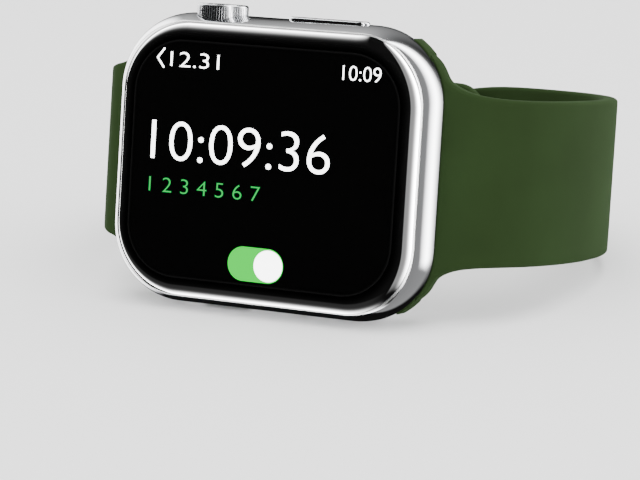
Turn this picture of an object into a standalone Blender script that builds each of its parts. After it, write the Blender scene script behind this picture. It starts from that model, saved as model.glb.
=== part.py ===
"""A rounded steel smartwatch on a closed silicone wrist band, standing on its long side.

It is modelled in the frame of its case: X runs along the case from the 12 o'clock end (-X) to the
6 o'clock end (+X), Y runs from the display into the wrist loop, and Z runs up to the crown side.
The empty watch_frame then leans the whole watch back until the band's far edge meets the floor.
"""

import math

import bmesh
import bpy
from mathutils import Matrix, Vector
from mathutils.geometry import interpolate_bezier

mm = 0.001

# Case
CASE_LENGTH = 45.7 * mm
CASE_WIDTH = 38.7 * mm
CASE_CORNER = 10.0 * mm
CORNER_STEPS = 9
MID_DEPTH = 5.6 * mm  # where the case's side bulges furthest
JOINT_DEPTH = 1.3 * mm  # front edge of the metal, under the crystal
BACK_DEPTH = 9.5 * mm
FRONT_ROUND = 4.9 * mm  # how far the front crystal's flat stands in from the side
BACK_ROUND = 4.35 * mm
CLEARANCE = 0.3 * mm

# Hollow of the case
LEDGE_DEPTH = 3.4 * mm
CAVITY_BACK = 8.0 * mm
RECESS_DEPTH = 8.7 * mm
FRONT_HALF = (20.4 * mm, 17.0 * mm)
CAVITY_HALF = (15.7 * mm, 16.9 * mm)
BACK_HALF = (15.0 * mm, 12.6 * mm)
RECESS_HALF = (17.4 * mm, 14.4 * mm)

# Crown and side button, on the +Z side
CROWN_X = -9.4 * mm
CONTROL_DEPTH = 5.2 * mm
CROWN_RADIUS = 3.4 * mm
CROWN_TEETH = 40
CROWN_FLOOR = 18.05 * mm
CROWN_BASE = 18.5 * mm
CROWN_TOP = 20.65 * mm
SHAFT_RADIUS = 0.9 * mm
BUTTON_X = 6.25 * mm
BUTTON_LENGTH = 11.4 * mm
BUTTON_BREADTH = 2.4 * mm
BUTTON_TOP = 19.7 * mm

# Back, and the ports on the -Z side
BACK_CRYSTAL_RADIUS = 12.3 * mm
RELEASE_X = 19.35 * mm
SPEAKER_X = -6.0 * mm
MIC_X = 5.2 * mm
VENT_X = 10.6 * mm

# Band
BAND_HALF_WIDTH = 10.75 * mm
TAIL_HALF_WIDTH = 8.4 * mm
BAND_HALF_THICK = 1.1 * mm
LUG_DEPTH = 7.0 * mm
LOOP_MIDDLE = 28.0 * mm
# where the band's two sides bend, as Bezier points in mm at +X: the pin strap turns back sooner
HOLE_SIDE = ((24.95, 7.6), (30.6, 7.8), (34.5, 14.4), (34.9, 27.0), (35.1, 39.0))
PIN_SIDE = ((24.95, 7.6), (26.4, 7.75), (29.6, 15.2), (33.4, 27.0), (38.16, 41.78))
PIN_LAYER = 49.2 * mm  # depth of the pin strap's middle surface at the clasp
LAYER_STEP = 2.6 * mm
PIN_X = 7.5 * mm
HOLE_PITCH = 6.5 * mm
HOLE_RADIUS = 2.0 * mm
HOLE_COUNT = 7
HOLES_PAST_LUG_SIDE = 3  # holes between the pin and the lug
SLOT_MIDDLE = -6.0 * mm

parts = bpy.data.collections.new("smartwatch")
cutters = bpy.data.collections.new("cutters")


def clear_scene():
    for old in list(bpy.data.objects):
        bpy.data.objects.remove(old, do_unlink=True)
    bpy.context.scene.collection.children.link(parts)
    bpy.context.scene.collection.children.link(cutters)


def material(name, colour, roughness, metallic=0.0):
    made = bpy.data.materials.new(name)
    made.use_nodes = True
    shader = made.node_tree.nodes["Principled BSDF"]
    shader.inputs["Base Color"].default_value = (*colour, 1.0)
    shader.inputs["Roughness"].default_value = roughness
    shader.inputs["Metallic"].default_value = metallic
    return made


def make_materials():
    return {
        "steel": material("polished_steel", (0.62, 0.62, 0.63), 0.12, 1.0),
        "brushed": material("brushed_steel", (0.5, 0.5, 0.51), 0.35, 1.0),
        "glass": material("black_glass", (0.01, 0.01, 0.012), 0.05),
        "ceramic": material("black_ceramic", (0.02, 0.02, 0.022), 0.2),
        "silicone": material("green_silicone", (0.045, 0.085, 0.03), 0.55),
        "rubber": material("seal_rubber", (0.02, 0.02, 0.02), 0.8),
        "plastic": material("black_plastic", (0.03, 0.03, 0.03), 0.5),
        "board": material("board_laminate", (0.01, 0.06, 0.03), 0.5),
        "foil": material("battery_foil", (0.35, 0.35, 0.37), 0.4, 0.6),
        "copper": material("enamelled_copper", (0.55, 0.2, 0.08), 0.35, 1.0),
        "ferrite": material("grey_ferrite", (0.06, 0.06, 0.065), 0.7),
    }


def add_part(name, bm, look, parent, place=(0, 0, 0), smooth=35.0):
    bmesh.ops.recalc_face_normals(bm, faces=bm.faces)
    mesh = bpy.data.meshes.new(name)
    bm.to_mesh(mesh)
    bm.free()
    mesh.materials.append(look)
    mesh.shade_smooth()
    mesh.set_sharp_from_angle(angle=math.radians(smooth))
    made = bpy.data.objects.new(name, mesh)
    made.location = place
    made.parent = parent
    parts.objects.link(made)
    return made


def make_cutter(name, bm, parent, place=(0, 0, 0)):
    bmesh.ops.recalc_face_normals(bm, faces=bm.faces)
    mesh = bpy.data.meshes.new(name)
    bm.to_mesh(mesh)
    bm.free()
    made = bpy.data.objects.new(name, mesh)
    made.location = place
    made.parent = parent
    made.hide_render = True
    made.display_type = "WIRE"
    cutters.objects.link(made)
    return made


def cut(target, cutter):
    modifier = target.modifiers.new(cutter.name, "BOOLEAN")
    modifier.operation = "DIFFERENCE"
    modifier.solver = "EXACT"
    modifier.object = cutter


def rounded_outline(half_length, half_width, corner, steps=CORNER_STEPS):
    """Points of a rounded rectangle about the origin, anticlockwise."""
    points = []
    for quarter, (sx, sy) in enumerate(((1, 1), (-1, 1), (-1, -1), (1, -1))):
        for step in range(steps + 1):
            angle = (quarter + step / steps) * math.pi / 2
            x = sx * (half_length - corner) + corner * math.cos(angle)
            y = sy * (half_width - corner) + corner * math.sin(angle)
            points.append((x, y))
    return points


def loft(rings, closed=False):
    """One body through rings of equally many points, capped at both ends or joined end to end."""
    bm = bmesh.new()
    rows = [[bm.verts.new(point) for point in ring] for ring in rings]
    count = len(rows[0])
    pairs = list(zip(rows, rows[1:]))
    if closed:
        pairs.append((rows[-1], rows[0]))
    for first, second in pairs:
        for i in range(count):
            j = (i + 1) % count
            bm.faces.new((first[i], first[j], second[j], second[i]))
    if not closed:
        bm.faces.new(rows[0])
        bm.faces.new(rows[-1])
    return bm


def facing(outline, depth):
    """An outline of (x, z) points as a ring across Y."""
    return [(x, depth, z) for x, z in outline]


def slab(half, corner, front, back, steps=CORNER_STEPS, edge=0.0):
    """A rounded plate across Y, with its rims chamfered by edge."""
    inner = rounded_outline(half[0] - edge, half[1] - edge, corner - edge, steps)
    outer = rounded_outline(half[0], half[1], corner, steps)
    if edge == 0.0:
        return loft([facing(outer, front), facing(outer, back)])
    rings = [facing(inner, front), facing(outer, front + edge)]
    rings += [facing(outer, back - edge), facing(inner, back)]
    return loft(rings)


def box(size, edge=0.0):
    bm = bmesh.new()
    bmesh.ops.create_cube(bm, size=1.0, matrix=Matrix.Diagonal((*size, 1.0)))
    if edge:
        bmesh.ops.bevel(bm, geom=bm.edges[:], offset=edge, segments=1, affect="EDGES")
    return bm


def cylinder(radius, length, axis="Z", segments=24, edge=0.0):
    bm = bmesh.new()
    bmesh.ops.create_cone(
        bm, cap_ends=True, segments=segments, radius1=radius, radius2=radius, depth=length
    )
    if edge:
        rims = [e for e in bm.edges if abs(e.verts[0].co.z - e.verts[1].co.z) < 1e-7]
        bmesh.ops.bevel(bm, geom=rims, offset=edge, segments=1, affect="EDGES")
    if axis == "Y":
        bmesh.ops.rotate(bm, verts=bm.verts, matrix=Matrix.Rotation(-math.pi / 2, 3, "X"))
    return bm


def turned(profile, axis="Z", segments=40):
    """A ring: a closed section of (radius, height) points turned about the axis."""
    rings = []
    for step in range(segments):
        angle = 2 * math.pi * step / segments
        ring = []
        for radius, height in profile:
            x, y = radius * math.cos(angle), radius * math.sin(angle)
            ring.append((x, y, height) if axis == "Z" else (x, height, y))
        rings.append(ring)
    return loft(rings, closed=True)


def stacked(profile, axis="Z", segments=40):
    """A solid of revolution from (radius, height) points, capped flat at both ends."""
    rings = []
    for radius, height in profile:
        ring = []
        for step in range(segments):
            angle = 2 * math.pi * step / segments
            x, y = radius * math.cos(angle), radius * math.sin(angle)
            ring.append((x, y, height) if axis == "Z" else (x, height, y))
        rings.append(ring)
    return loft(rings)


def ring_profile(inner, outer, low, high, edge=0.0):
    """The section of a flat ring, its corners chamfered by edge."""
    if edge == 0.0:
        return [(inner, low), (outer, low), (outer, high), (inner, high)]
    return [
        (inner, low + edge), (inner + edge, low), (outer - edge, low), (outer, low + edge),
        (outer, high - edge), (outer - edge, high), (inner + edge, high), (inner, high - edge),
    ]


def side_inset(depth):
    """How far the watch's outline stands in from its full size at a depth."""
    if depth < MID_DEPTH:
        reach, rounding, power = MID_DEPTH, FRONT_ROUND, 2.6
    else:
        reach, rounding, power = BACK_DEPTH - MID_DEPTH, BACK_ROUND, 2.4
    share = min(abs(depth - MID_DEPTH) / reach, 1.0)
    return rounding * (1 - (1 - share**power) ** (1 / power))


def outer_ring(depth):
    inset = side_inset(depth)
    gentle = min(inset, side_inset(JOINT_DEPTH))  # the corners tighten less over the bulge than beyond it
    corner = CASE_CORNER - 0.45 * gentle - (inset - gentle)
    outline = rounded_outline(CASE_LENGTH / 2 - inset, CASE_WIDTH / 2 - inset, corner)
    return facing(outline, depth)


def hollow_ring(half, corner, depth):
    return facing(rounded_outline(half[0], half[1], corner), depth)


def band_slot_section(side):
    """The T-shaped section of a band slot, open at the case's end."""
    floor, shoulder, mouth, end = 17.85 * mm, 20.65 * mm, 21.25 * mm, 24.4 * mm
    wide, narrow = 1.5 * mm, 1.1 * mm
    half = [(floor, wide), (shoulder, wide), (mouth, narrow), (end, narrow)]
    outline = half + [(x, -y) for x, y in reversed(half)]
    return [(side * x, LUG_DEPTH + y) for x, y in outline]


def make_slot_cutter(name, side, frame):
    outline = band_slot_section(side)
    reach = CASE_WIDTH
    rings = [[(x, y, z) for x, y in outline] for z in (-reach, reach)]
    return make_cutter(name, loft(rings), frame)


def make_case(looks, frame):
    rings = [outer_ring(depth * mm) for depth in (1.3, 1.9, 2.7, 3.9, 5.6, 6.8, 7.7, 8.5, 9.1, 9.4, 9.5)]
    rings.append(hollow_ring(RECESS_HALF, 7.5 * mm, BACK_DEPTH))
    rings.append(hollow_ring(RECESS_HALF, 7.5 * mm, RECESS_DEPTH))
    rings.append(hollow_ring(BACK_HALF, 6.0 * mm, RECESS_DEPTH))
    rings.append(hollow_ring(BACK_HALF, 6.0 * mm, CAVITY_BACK))
    rings.append(hollow_ring(CAVITY_HALF, 5.0 * mm, CAVITY_BACK))
    rings.append(hollow_ring(CAVITY_HALF, 5.0 * mm, LEDGE_DEPTH))
    rings.append(hollow_ring(FRONT_HALF, 9.6 * mm, LEDGE_DEPTH))
    rings.append(hollow_ring(FRONT_HALF, 9.6 * mm, JOINT_DEPTH))
    case = add_part("case_body", loft(rings, closed=True), looks["steel"], frame)

    for side, end in ((-1, "12"), (1, "6")):
        cut(case, make_slot_cutter(f"cut_slot_{end}", side, frame))
        window = slab((1.15 * mm, 4.3 * mm), 1.1 * mm, -2 * mm, 2 * mm, steps=4)
        place = (side * RELEASE_X, LUG_DEPTH + 3.35 * mm, 0)
        cut(case, make_cutter(f"cut_release_{end}", window, frame, place))
        track = box((1.9 * mm, 0.6 * mm, 2 * CASE_WIDTH))
        place = (side * RELEASE_X, LUG_DEPTH + 1.45 * mm, 0)
        cut(case, make_cutter(f"cut_latch_track_{end}", track, frame, place))

    recess = cylinder(CROWN_RADIUS + CLEARANCE, 6 * mm, segments=40)
    place = (CROWN_X, CONTROL_DEPTH, CROWN_FLOOR + 3 * mm)
    cut(case, make_cutter("cut_crown_recess", recess, frame, place))
    bore = cylinder(SHAFT_RADIUS + 0.9 * mm, 4 * mm)
    cut(case, make_cutter("cut_crown_bore", bore, frame, (CROWN_X, CONTROL_DEPTH, 17 * mm)))
    seat = button_pill(CLEARANCE, 15.5 * mm, 21 * mm)
    cut(case, make_cutter("cut_button_seat", seat, frame, (BUTTON_X, CONTROL_DEPTH, 0)))

    port = slab((3.4 * mm, 0.65 * mm), 0.6 * mm, -3 * mm, 3 * mm, steps=3)
    bmesh.ops.rotate(port, verts=port.verts, matrix=Matrix.Rotation(math.pi / 2, 3, "X"))
    cut(case, make_cutter("cut_speaker_port", port, frame, (SPEAKER_X, MID_DEPTH, -18 * mm)))
    for name, x, radius in (("cut_mic_port", MIC_X, 0.5 * mm), ("cut_vent_port", VENT_X, 0.45 * mm)):
        hole = cylinder(radius, 6 * mm, segments=12)
        cut(case, make_cutter(name, hole, frame, (x, MID_DEPTH, -18 * mm)))
    return case


def make_display(looks, frame):
    bottom = JOINT_DEPTH - 0.2 * mm
    depths = [0.0, 0.03 * mm, 0.12 * mm, 0.3 * mm, 0.6 * mm, bottom]
    crystal = loft([outer_ring(depth) for depth in depths])
    add_part("front_crystal", crystal, looks["glass"], frame)
    panel = slab((19.4 * mm, 15.9 * mm), 8.5 * mm, 1.4 * mm, 2.3 * mm)
    add_part("display_panel", panel, looks["glass"], frame)
    plate = slab((19.4 * mm, 15.9 * mm), 8.5 * mm, 2.6 * mm, 3.1 * mm)
    add_part("display_plate", plate, looks["brushed"], frame)
    gasket_outer, gasket_inner = (20.15 * mm, 16.75 * mm), (19.7 * mm, 16.2 * mm)
    rings = [
        hollow_ring(gasket_outer, 9.3 * mm, 1.45 * mm),
        hollow_ring(gasket_outer, 9.3 * mm, 2.9 * mm),
        hollow_ring(gasket_inner, 8.8 * mm, 2.9 * mm),
        hollow_ring(gasket_inner, 8.8 * mm, 1.45 * mm),
    ]
    add_part("display_gasket", loft(rings, closed=True), looks["rubber"], frame)
    route = [(8.6, 4.3), (9.4, 4.3), (10.0, 4.1), (10.5, 3.75), (11.0, 3.5), (12.0, 3.5)]
    half = 3.0 * mm
    rings = []
    for z, y in route:
        low, high = (y - 0.06) * mm, (y + 0.06) * mm
        z *= mm
        rings.append([(-half, low, z), (half, low, z), (half, high, z), (-half, high, z)])
    add_part("display_flex", loft(rings), looks["copper"], frame, (-10.0 * mm, 0, 0))


def make_core(looks, frame):
    blocks = (
        ("battery", (18.6, 3.6, 21.0), (5.4, 5.5, -2.2), "foil", 0.5),
        ("main_board", (10.0, 0.7, 16.6), (-10.2, 4.85, 2.1), "board", 0.0),
        ("system_package", (8.2, 1.7, 10.6), (-10.2, 6.35, 2.4), "plastic", 0.2),
        ("microphone", (2.6, 1.9, 1.4), (MIC_X / mm, 5.0, -15.8), "plastic", 0.1),
        ("vent_sensor", (3.0, 2.2, 2.0), (VENT_X / mm, 5.0, -15.5), "plastic", 0.15),
    )
    made = {}
    for name, size, place, look, edge in blocks:
        solid = box([s * mm for s in size], edge * mm)
        made[name] = add_part(name, solid, looks[look], frame, [p * mm for p in place])
    corners = [(x * mm, z * mm) for x in (-14.2, -6.2) for z in (-5.2, 9.4)]
    profile = [(0.4 * mm, -0.3 * mm), (0.4 * mm, 1.1 * mm), (0.8 * mm, 1.1 * mm), (0.8 * mm, 1.7 * mm)]
    for number, (x, z) in enumerate(corners, 1):
        place = (x, 4.3 * mm, z)
        add_part(f"board_screw_{number}", stacked(profile, "Y", 14), looks["brushed"], frame, place)
        hole = cylinder(0.65 * mm, 4 * mm, "Y", 14)
        cut(made["main_board"], make_cutter(f"cut_board_hole_{number}", hole, frame, place))


def make_haptic(looks, frame):
    middle = Vector((-10.2, 5.5, -9.8)) * mm
    tray = box((10.4 * mm, 3.5 * mm, 5.8 * mm))
    housing = add_part("haptic_housing", tray, looks["brushed"], frame, middle)
    inside = box((9.6 * mm, 3.5 * mm, 5.0 * mm))
    cut(housing, make_cutter("cut_haptic_tray", inside, frame, middle - Vector((0, 0.4 * mm, 0))))
    mass = box((6.8 * mm, 2.2 * mm, 4.3 * mm), 0.2 * mm)
    add_part("haptic_mass", mass, looks["steel"], frame, middle - Vector((0, 0.1 * mm, 0)))
    for side, name in ((-1, "haptic_spring_left"), (1, "haptic_spring_right")):
        bow = []
        for step in range(9):
            z = (step / 4 - 1) * 2.1 * mm
            x = side * (4.55 * mm - 0.5 * mm * math.cos(z / (2.1 * mm) * math.pi / 2))
            bow.append([(x + dx * mm, dy * mm, z) for dx, dy in ((-.08, -1), (.08, -1), (.08, 1), (-.08, 1))])
        add_part(name, loft(bow), looks["brushed"], frame, middle)


def make_speaker(looks, frame):
    body = box((13.0 * mm, 3.5 * mm, 2.6 * mm), 0.3 * mm)
    place = (SPEAKER_X, 5.5 * mm, -14.5 * mm)
    add_part("speaker_module", body, looks["plastic"], frame, place)
    mesh = box((8.4 * mm, 2.6 * mm, 0.25 * mm))
    add_part("speaker_mesh", mesh, looks["brushed"], frame, (SPEAKER_X, MID_DEPTH, -16.4 * mm))


def make_back(looks, frame):
    board = cylinder(11.4 * mm, 0.4 * mm, "Y", 40)
    add_part("sensor_board", board, looks["board"], frame, (0, 7.75 * mm, 0))
    sheet = turned(ring_profile(5.2 * mm, 11.2 * mm, 8.2 * mm, 8.5 * mm), "Y")
    add_part("ferrite_sheet", sheet, looks["ferrite"], frame)
    coil = turned(ring_profile(5.4 * mm, 10.4 * mm, 8.75 * mm, 9.2 * mm), "Y")
    add_part("charging_coil", coil, looks["copper"], frame)
    magnet = turned(ring_profile(3.5 * mm, 4.7 * mm, 8.25 * mm, 9.15 * mm), "Y")
    add_part("alignment_magnet", magnet, looks["brushed"], frame)
    cluster = cylinder(3.0 * mm, 0.9 * mm, "Y", 24, 0.15 * mm)
    add_part("sensor_cluster", cluster, looks["plastic"], frame, (0, 8.7 * mm, 0))

    gap = CLEARANCE
    cover = slab((RECESS_HALF[0] - gap, RECESS_HALF[1] - gap), 7.2 * mm, 9.0 * mm, 9.8 * mm, edge=0.25 * mm)
    cover = add_part("back_cover", cover, looks["ceramic"], frame)
    opening = cylinder(BACK_CRYSTAL_RADIUS + gap, 6 * mm, "Y", 48)
    cut(cover, make_cutter("cut_back_window", opening, frame, (0, 9 * mm, 0)))
    half_dome = [
        (BACK_CRYSTAL_RADIUS, 9.05), (BACK_CRYSTAL_RADIUS, 9.85), (11.6 * mm, 10.15), (10.4 * mm, 10.42),
        (9.2 * mm, 10.58), (8.0 * mm, 10.65),
    ]
    outside = [(radius, height * mm) for radius, height in half_dome]
    crystal = add_part("back_crystal", stacked(outside, "Y", 48), looks["glass"], frame)
    pocket = cylinder(BACK_CRYSTAL_RADIUS - 1.0 * mm, 2 * mm, "Y", 40)
    cut(crystal, make_cutter("cut_back_pocket", pocket, frame, (0, 8.6 * mm, 0)))


def crown_outline(radius, tooth):
    points = []
    for step in range(2 * CROWN_TEETH):
        angle = math.pi * step / CROWN_TEETH
        reach = radius - (tooth if step % 2 else 0.0)
        points.append((reach * math.cos(angle), reach * math.sin(angle)))
    return points


def make_crown(looks, frame):
    axis = bpy.data.objects.new("crown_axis", None)
    axis.location = (CROWN_X, CONTROL_DEPTH, 0)
    axis.parent = frame
    parts.objects.link(axis)
    tooth = 0.14 * mm
    levels = (
        (CROWN_BASE, -0.25 * mm, 0.0), (CROWN_BASE + 0.2 * mm, 0.0, tooth),
        (CROWN_TOP - 0.35 * mm, 0.0, tooth), (CROWN_TOP - 0.12 * mm, -0.16 * mm, 0.0),
        (CROWN_TOP, -0.5 * mm, 0.0),
    )
    rings = []
    for height, grow, depth in levels:
        outline = crown_outline(CROWN_RADIUS + grow, depth)
        rings.append([(x, y, height) for x, y in outline])
    add_part("crown_cap", loft(rings), looks["steel"], axis, smooth=25.0)
    bottom, top = 12.35 * mm, CROWN_BASE - 0.25 * mm
    shaft = stacked([(SHAFT_RADIUS - 0.1 * mm, bottom), (SHAFT_RADIUS, bottom + 0.1 * mm), (SHAFT_RADIUS, top)],
                    segments=20)
    add_part("crown_shaft", shaft, looks["brushed"], axis)
    bush = turned(ring_profile(1.2 * mm, 1.95 * mm, 14.2 * mm, 16.6 * mm, 0.1 * mm), segments=28)
    add_part("crown_bush", bush, looks["brushed"], axis)
    retainer = turned(ring_profile(1.1 * mm, 1.9 * mm, 12.75 * mm, 13.05 * mm), segments=24)
    add_part("crown_retainer", retainer, looks["brushed"], axis)
    seal = []
    for step in range(8):
        angle = 2 * math.pi * step / 8
        seal.append((1.36 * mm + 0.3 * mm * math.cos(angle), 17.3 * mm + 0.3 * mm * math.sin(angle)))
    add_part("crown_seal", turned(seal, segments=24), looks["rubber"], axis)
    bracket = add_part("crown_bracket", box((8.2 * mm, 3.2 * mm, 0.5 * mm)), looks["brushed"], axis,
                       (0, 0.2 * mm, 13.6 * mm))
    hole = cylinder(1.25 * mm, 3 * mm)
    cut(bracket, make_cutter("cut_bracket_hole", hole, axis, (0, 0, 13.6 * mm)))
    add_part("crown_encoder", box((1.5 * mm, 2.6 * mm, 2.0 * mm), 0.1 * mm), looks["plastic"], axis,
             (-2.8 * mm, 0, 15.3 * mm))
    add_part("crown_switch", box((3.4 * mm, 2.8 * mm, 0.8 * mm), 0.1 * mm), looks["plastic"], axis,
             (0, 0, 11.6 * mm))


def button_pill(grow, bottom, top, edge=0.0):
    """A pill-shaped prism along Z for the side button and its seat."""
    half_length, half_breadth = BUTTON_LENGTH / 2 + grow, BUTTON_BREADTH / 2 + grow
    full = rounded_outline(half_length, half_breadth, half_breadth * 0.98, 6)
    rings = [[(x, y, bottom) for x, y in full], [(x, y, top - edge) for x, y in full]]
    if edge:
        share = math.sqrt(0.5)
        for inset, height in ((edge * (1 - share), top - edge * (1 - share)), (edge, top)):
            ring = rounded_outline(half_length - inset, half_breadth - inset, (half_breadth - inset) * 0.98, 6)
            rings.append([(x, y, height) for x, y in ring])
    return loft(rings)


def make_side_button(looks, frame):
    axis = bpy.data.objects.new("side_button_axis", None)
    axis.location = (BUTTON_X, CONTROL_DEPTH, 0)
    axis.parent = frame
    parts.objects.link(axis)
    cap = button_pill(0.0, 17.95 * mm, BUTTON_TOP, 0.35 * mm)
    add_part("side_button_cap", cap, looks["steel"], axis)
    plunger = stacked([(1.0 * mm, 15.3 * mm), (1.0 * mm, 17.65 * mm)], segments=20)
    add_part("side_button_plunger", plunger, looks["brushed"], axis)
    bracket = add_part("side_button_bracket", box((10.6 * mm, 3.2 * mm, 0.5 * mm)), looks["brushed"], axis,
                       (0, 0.2 * mm, 15.75 * mm))
    hole = cylinder(1.3 * mm, 3 * mm)
    cut(bracket, make_cutter("cut_button_bracket_hole", hole, axis, (0, 0, 15.75 * mm)))
    seal = turned(ring_profile(1.15 * mm, 1.42 * mm, 16.2 * mm, 17.1 * mm), segments=20)
    add_part("side_button_seal", seal, looks["rubber"], axis)
    switch = box((4.0 * mm, 2.8 * mm, 0.9 * mm), 0.1 * mm)
    add_part("side_button_switch", switch, looks["plastic"], axis, (0, 0, 14.4 * mm))


def case_contour(x):
    """Half width of the case's outline at a place along its length."""
    into_corner = x - (CASE_LENGTH / 2 - CASE_CORNER)
    if into_corner <= 0:
        return CASE_WIDTH / 2
    return CASE_WIDTH / 2 - CASE_CORNER + math.sqrt(max(CASE_CORNER**2 - into_corner**2, 0.0))


def lug_stations():
    """Middle points, half widths and half thicknesses from inside the slot to the free band, at +X."""
    stations = []
    for x, thick in ((18.15, 1.0), (18.35, 1.2), (19.25, 1.2), (20.35, 1.2), (21.05, 0.85), (21.75, 0.85)):
        width = case_contour(x * mm) + 0.5 * mm
        stations.append((Vector((x * mm, LUG_DEPTH)), width, thick * mm))
    for x, sink, thick in ((22.75, 0.0, 0.85), (23.3, 0.35, 1.15), (23.85, 0.5, 1.3)):
        stations.append((Vector((x * mm, LUG_DEPTH + sink * mm)), free_half_width(x * mm), thick * mm))
    return stations


def free_half_width(x):
    """The free band's half width, which flares towards the case."""
    return BAND_HALF_WIDTH + 1.95 * mm * math.exp(-(x - 23.15 * mm) / (2.9 * mm))


def curve_points(start, start_handle, end_handle, end, count):
    flat = [Vector((x * mm, y * mm, 0)) for x, y in (start, start_handle, end_handle, end)]
    return [point.to_2d() for point in interpolate_bezier(*flat, count)]


def side_route(side, layer_depth):
    """The band's middle line from the slot round the +X side to the far strand."""
    near = curve_points(*side[:4], 12)
    far = curve_points(*side[3:], (31.6, layer_depth / mm - 0.4), (20.0, layer_depth / mm), 12)
    return near + far[1:]


def strap_stations(side, layer_depth, tail):
    """(middle, half width, half thickness) all along a strap at +X, then along its tail points."""
    stations = lug_stations()
    for point in side_route(side, layer_depth):
        width, thick = BAND_HALF_WIDTH, BAND_HALF_THICK
        if point.y < LOOP_MIDDLE:
            width = free_half_width(point.x)
            thick += 0.2 * mm * math.exp(-(point.x - 23.85 * mm) / (3.6 * mm))
        stations.append((point, width, thick))
    return stations + tail


def section_ring(middle, along, half_width, half_thick):
    """A rounded section across the band's direction."""
    across = Vector((along.y, -along.x))
    corner = min(half_thick * 0.75, 0.8 * mm)
    ring = []
    for u, z in rounded_outline(half_thick, half_width, corner, 2):
        ring.append((middle.x + across.x * u, middle.y + across.y * u, z))
    return ring


def strap_solid(stations):
    rings = []
    last = len(stations) - 1
    for i, (middle, width, thick) in enumerate(stations):
        along = (stations[min(i + 1, last)][0] - stations[max(i - 1, 0)][0]).normalized()
        rings.append(section_ring(middle, along, width, thick))
    return loft(rings)


def tip_stations(point, along, width, thick):
    """Rounds off a strap's end beyond a point."""
    reach = 4.0 * mm
    stations = []
    for angle in (25, 50, 70, 84):
        turn = math.radians(angle)
        place = point + along * reach * math.sin(turn)
        stations.append((place, width - reach * (1 - math.cos(turn)), thick))
    return stations


def pin_strap_tail():
    """The pin strap's straight end, at +X before it is mirrored to the 12 o'clock side."""
    depth = PIN_LAYER
    stations = []
    for x in (16.0, 12.0, 8.0, 4.0, 0.0, -4.0, -7.0):
        stations.append((Vector((x * mm, depth)), BAND_HALF_WIDTH, BAND_HALF_THICK))
    last = stations[-1][0]
    return stations + tip_stations(last, Vector((-1, 0)), BAND_HALF_WIDTH, BAND_HALF_THICK)


def hole_strap_tail():
    """The hole strap's end: over the pin, down through the slot and along inside the pin strap."""
    outer, inner = PIN_LAYER + LAYER_STEP, PIN_LAYER - LAYER_STEP
    stations = []
    for x, share in ((15.0, 0.0), (11.0, 0.1), (7.5, 0.35), (4.0, 0.75), (1.5, 1.0)):
        width = BAND_HALF_WIDTH + (TAIL_HALF_WIDTH - BAND_HALF_WIDTH) * share
        stations.append((Vector((x * mm, outer)), width, BAND_HALF_THICK))
    dive_start, dive_end = 0.5 * mm, -12.5 * mm
    for step in range(1, 10):
        share = step / 10
        x = dive_start + (dive_end - dive_start) * share
        fall = (1 - math.cos(math.pi * share)) / 2
        y = outer + (inner - outer) * fall
        stations.append((Vector((x, y)), TAIL_HALF_WIDTH, 0.95 * mm))
    run = curve_points((-12.5, inner / mm), (-16.0, inner / mm), (-18.6, inner / mm), (-21.0, inner / mm - 0.45), 5)
    for point in run:
        stations.append((point, TAIL_HALF_WIDTH, 0.95 * mm))
    along = (run[-1] - run[-2]).normalized()
    return stations + tip_stations(run[-1], along, TAIL_HALF_WIDTH, 0.95 * mm)


def mirrored(bm):
    """Turns a body over to the -X side."""
    for vert in bm.verts:
        vert.co.x = -vert.co.x
    bmesh.ops.reverse_faces(bm, faces=bm.faces)
    return bm


def cut_latch_pocket(strap, side, end, frame):
    pocket = box((1.8 * mm, 2.6 * mm, 7.8 * mm))
    place = (side * RELEASE_X, LUG_DEPTH + 0.8 * mm, 0)
    cut(strap, make_cutter(f"cut_latch_pocket_{end}", pocket, frame, place))


def route_lengths(stations):
    """How far along its middle line each station of a strap is."""
    lengths = [0.0]
    for (first, _, _), (second, _, _) in zip(stations, stations[1:]):
        lengths.append(lengths[-1] + (second - first).length)
    return lengths


def place_on_route(stations, lengths, distance):
    """The middle point and the direction of a strap at a distance along it."""
    index = max(i for i, length in enumerate(lengths[:-1]) if length <= distance)
    first, second = stations[index][0], stations[index + 1][0]
    along = (second - first).normalized()
    return first + along * (distance - lengths[index]), along


def cut_band_holes(strap, stations, frame):
    """Seven holes at one pitch, the third from the tip over the pin."""
    lengths = route_lengths(stations)
    far = [i for i, (middle, _, _) in enumerate(stations) if middle.y > LOOP_MIDDLE]
    over_pin = min(far, key=lambda i: abs(stations[i][0].x - PIN_X) + (stations[i][0].y < PIN_LAYER))
    for number in range(HOLE_COUNT):
        distance = lengths[over_pin] + (number - HOLES_PAST_LUG_SIDE) * HOLE_PITCH
        middle, along = place_on_route(stations, lengths, distance)
        hole = cylinder(HOLE_RADIUS, 3.4 * mm, "Y", 20)
        turn = Matrix.Rotation(math.atan2(along.y, along.x), 3, "Z")
        bmesh.ops.rotate(hole, verts=hole.verts, matrix=turn)
        cut(strap, make_cutter(f"cut_band_hole_{number + 1}", hole, frame, (middle.x, middle.y, 0)))


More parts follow.
